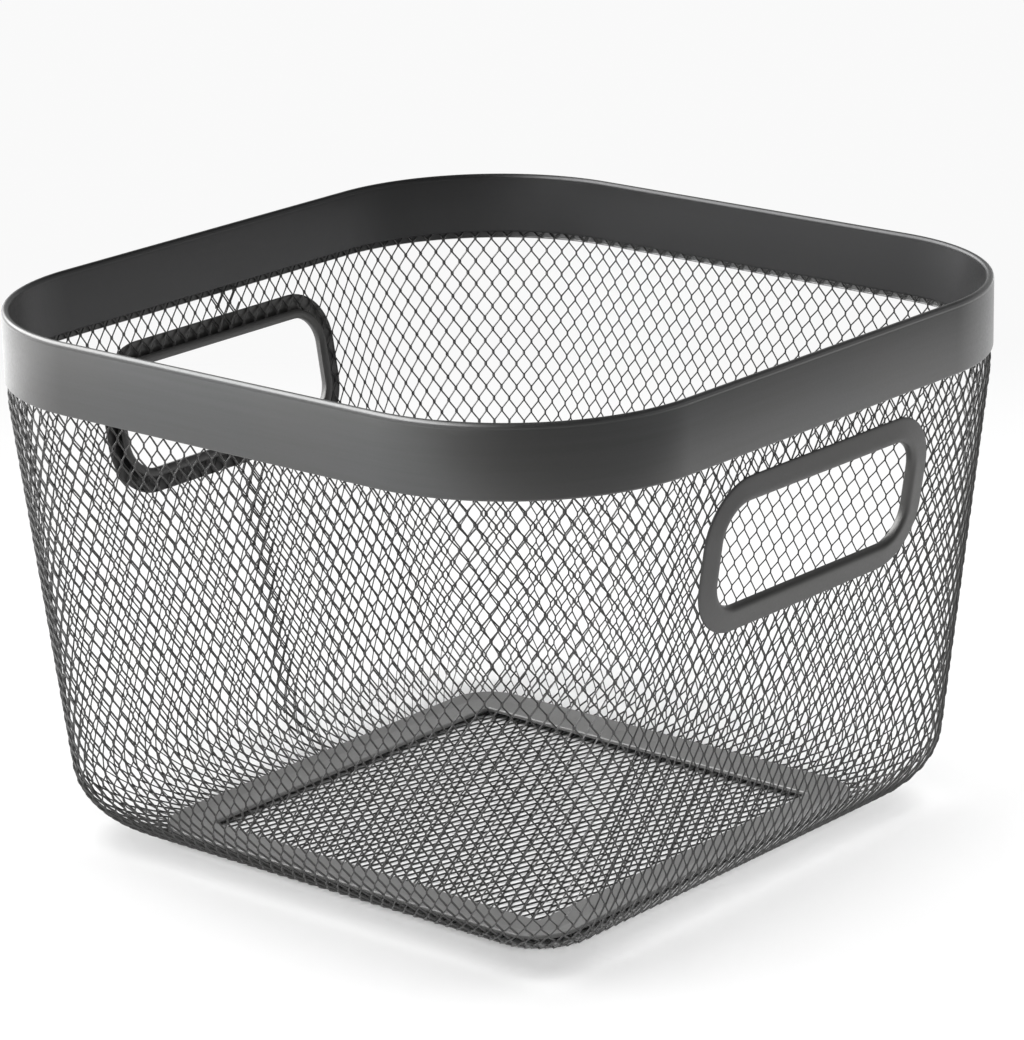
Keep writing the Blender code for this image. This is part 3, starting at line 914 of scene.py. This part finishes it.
def ring_coat():
    """The same coat on the pressed hand rings, a little more even."""
    material, tree, shader, grain = start_coat(RING_COAT)
    shader.inputs["Coat Roughness"].default_value = CLEAR_COAT_ROUGHNESS
    shader.inputs["Coat Weight"].default_value = CLEAR_COAT_ON_RING
    tree.links.new(clouded_shade(tree, grain, RING_COAT), shader.inputs["Base Color"])
    return material


def mesh_coat():
    """Darker coat on the strands, mottled by the speckle of its grain."""
    material, tree, shader, grain = start_coat(MESH_COAT)
    shader.inputs["Coat Weight"].default_value = CLEAR_COAT_ON_MESH
    shader.inputs["Coat Roughness"].default_value = MESH_CLEAR_COAT_ROUGHNESS
    tree.links.new(clouded_shade(tree, grain, MESH_COAT), shader.inputs["Base Color"])
    return material


def base_coat():
    """Lighter, flatter coat on the base frame, scuffed where things slide over it."""
    material, tree, shader, grain = start_coat(BASE_COAT)
    rub = place_group(tree, RUB, Edge_height=BASE_RUB_HEIGHT, Reach=BASE_RUB_REACH)
    scuffed = multiplied(tree, rub.outputs["Rub"], BASE_RUB_SHARE)
    shade = blend_colours(tree, scuffed, clouded_shade(tree, grain, BASE_COAT), BARE_EDGE_SHADE)
    tree.links.new(shade, shader.inputs["Base Color"])
    return material


def ray_shares(tree):
    """One for rays from the camera, and one for rays off shiny surfaces or through glass."""
    path = tree.nodes.new("ShaderNodeLightPath")
    mirrored = larger(tree, path.outputs["Is Glossy Ray"], path.outputs["Is Transmission Ray"])
    return path.outputs["Is Camera Ray"], mirrored


def share_towards(tree, place, direction, reach, to_low=0, to_high=1):
    """Turns how far a place or direction lies along another direction into a share."""
    along = vector_node(tree, "DOT_PRODUCT", place, direction)["Value"]
    return spread(tree, along, *reach, to_low, to_high)


def away_from_camera():
    return (-math.sin(CAMERA_AZIMUTH), math.cos(CAMERA_AZIMUTH), 0)


def glow_over(tree, under, share, level):
    """Lays an even glow of one level over a surface where the share is one."""
    glow = tree.nodes.new("ShaderNodeEmission")
    glow.inputs["Strength"].default_value = level
    mixed = tree.nodes.new("ShaderNodeMixShader")
    tree.links.new(share, mixed.inputs[0])
    tree.links.new(under, mixed.inputs[1])
    tree.links.new(glow.outputs[0], mixed.inputs[2])
    return mixed.outputs[0]


def pale_floor():
    """A pale floor, white further back, that shiny surfaces see bright left and dark in front."""
    deselect_all()
    bpy.ops.mesh.primitive_plane_add(size=FLOOR_SIDE)
    floor = bpy.context.object
    floor.name = "floor"
    edit(floor)
    bpy.ops.mesh.select_all(action="SELECT")
    bpy.ops.mesh.subdivide(number_cuts=3)
    bpy.ops.object.mode_set(mode="OBJECT")
    material = bpy.data.materials.new("pale floor")
    material.use_nodes = True
    tree = material.node_tree
    shader = tree.nodes["Principled BSDF"]
    shader.inputs["Roughness"].default_value = 0.9
    shader.inputs["Specular IOR Level"].default_value = 0.1
    place = own_place(tree)
    clouds = noise(tree, place, FLOOR_CLOUDS_PER_METRE, 2)
    tree.links.new(blend_colours(tree, clouds, *FLOOR_SHADES), shader.inputs["Base Color"])
    seen, mirrored = ray_shares(tree)
    back = share_towards(tree, place, away_from_camera(), BACK_FLOOR)
    left = share_towards(tree, place, LEFT_FLOOR_WAY, LEFT_FLOOR)
    front = share_towards(tree, place, FRONT_FLOOR_WAY, FRONT_FLOOR)
    white_in_mirror = multiplied(tree, larger(tree, back, left), mirrored)
    white = larger(tree, multiplied(tree, back, seen), white_in_mirror)
    surface = shader.outputs[0]
    for share, level in (
        (white, WHITE_LEVEL),
        (multiplied(tree, left, mirrored), WINDOW_FLOOR_LEVEL),
        (multiplied(tree, front, mirrored), DARK_FLOOR_LEVEL),
    ):
        surface = glow_over(tree, surface, share, level)
    tree.links.new(surface, tree.nodes["Material Output"].inputs["Surface"])
    floor.data.materials.append(material)


def soft_room():
    """Even light for matt surfaces. Shiny ones see white walls, a window and a dark ceiling."""
    world = bpy.data.worlds.new("soft room")
    bpy.context.scene.world = world
    world.use_nodes = True
    tree = world.node_tree
    sky = tree.nodes["Background"]
    way = tree.nodes.new("ShaderNodeTexCoord").outputs["Generated"]
    brighter = share_towards(tree, way, away_from_camera(), FRONT_TO_BACK, FRONT_LEVEL, 1)
    low = share_towards(tree, way, UP, WALL_TOP, 1, 0)
    left = share_towards(tree, way, WINDOW_WAY, WINDOW_EDGE, 0, WINDOW_LEVEL)
    window = multiplied(tree, left, share_towards(tree, way, UP, WINDOW_SILL))
    walls = multiplied(tree, multiplied(tree, low, brighter), WALL_LEVEL)
    shiny = larger(tree, larger(tree, walls, window), CEILING_LEVEL)
    seen, mirrored = ray_shares(tree)
    matt = multiplied(tree, brighter, ROOM_LEVEL)
    as_seen = multiplied(tree, seen, math_node(tree, "SUBTRACT", WHITE_LEVEL, matt))
    as_shiny = multiplied(tree, mirrored, math_node(tree, "SUBTRACT", shiny, matt))
    extra = math_node(tree, "ADD", as_seen, as_shiny)
    tree.links.new(math_node(tree, "ADD", matt, extra), sky.inputs["Strength"])
    sky.inputs["Color"].default_value = (1, 1, 1, 1)


def soft_lamp(name, place, power):
    """A square soft box that faces straight down at the floor."""
    data = bpy.data.lights.new(name, "AREA")
    data.shape = "SQUARE"
    data.size = LAMP_SIZE
    data.energy = power
    lamp = bpy.data.objects.new(name, data)
    lamp.location = (*place, LAMP_HEIGHT)
    lamp.visible_camera = False
    lamp.visible_glossy = False
    bpy.context.scene.collection.objects.link(lamp)


def light_the_room():
    pale_floor()
    soft_room()
    soft_lamp("left soft box", LEFT_LAMP, LEFT_POWER)
    soft_lamp("right soft box", RIGHT_LAMP, RIGHT_POWER)


def camera():
    """Stands where the photograph was taken from."""
    data = bpy.data.cameras.new("camera")
    data.sensor_width = SENSOR_WIDTH_MM
    data.lens = FOCAL_LENGTH_PX / PICTURE_HEIGHT_PX * SENSOR_WIDTH_MM
    data.clip_start = CLEAR_FROM
    data.clip_end = CLEAR_TO
    back = Vector(
        (
            math.sin(CAMERA_AZIMUTH) * math.cos(CAMERA_ELEVATION),
            -math.cos(CAMERA_AZIMUTH) * math.cos(CAMERA_ELEVATION),
            math.sin(CAMERA_ELEVATION),
        )
    )
    level_right = Vector((math.cos(CAMERA_AZIMUTH), math.sin(CAMERA_AZIMUTH), 0))
    level_up = back.cross(level_right)
    right = math.cos(CAMERA_ROLL) * level_right + math.sin(CAMERA_ROLL) * level_up
    up = math.cos(CAMERA_ROLL) * level_up - math.sin(CAMERA_ROLL) * level_right
    shot = bpy.data.objects.new("camera", data)
    turned = Matrix((right, up, back)).transposed().to_4x4()
    shot.matrix_world = Matrix.Translation(CAMERA_PLACE) @ turned
    bpy.context.scene.collection.objects.link(shot)
    bpy.context.scene.camera = shot


def main():
    wall = WallForm()
    camera()
    light_the_room()
    band_grey = band_coat()
    ring_grey = ring_coat()
    strand_grey = mesh_coat()
    base_grey = base_coat()
    rim_band(band_grey)
    hand_ring(wall, ring_grey)
    wall_mesh(wall, strand_grey)
    base_mesh(strand_grey)
    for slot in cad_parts["base_frame"].material_slots:
        slot.material = base_grey
    bpy.context.scene.view_settings.view_transform = "Standard"


main()
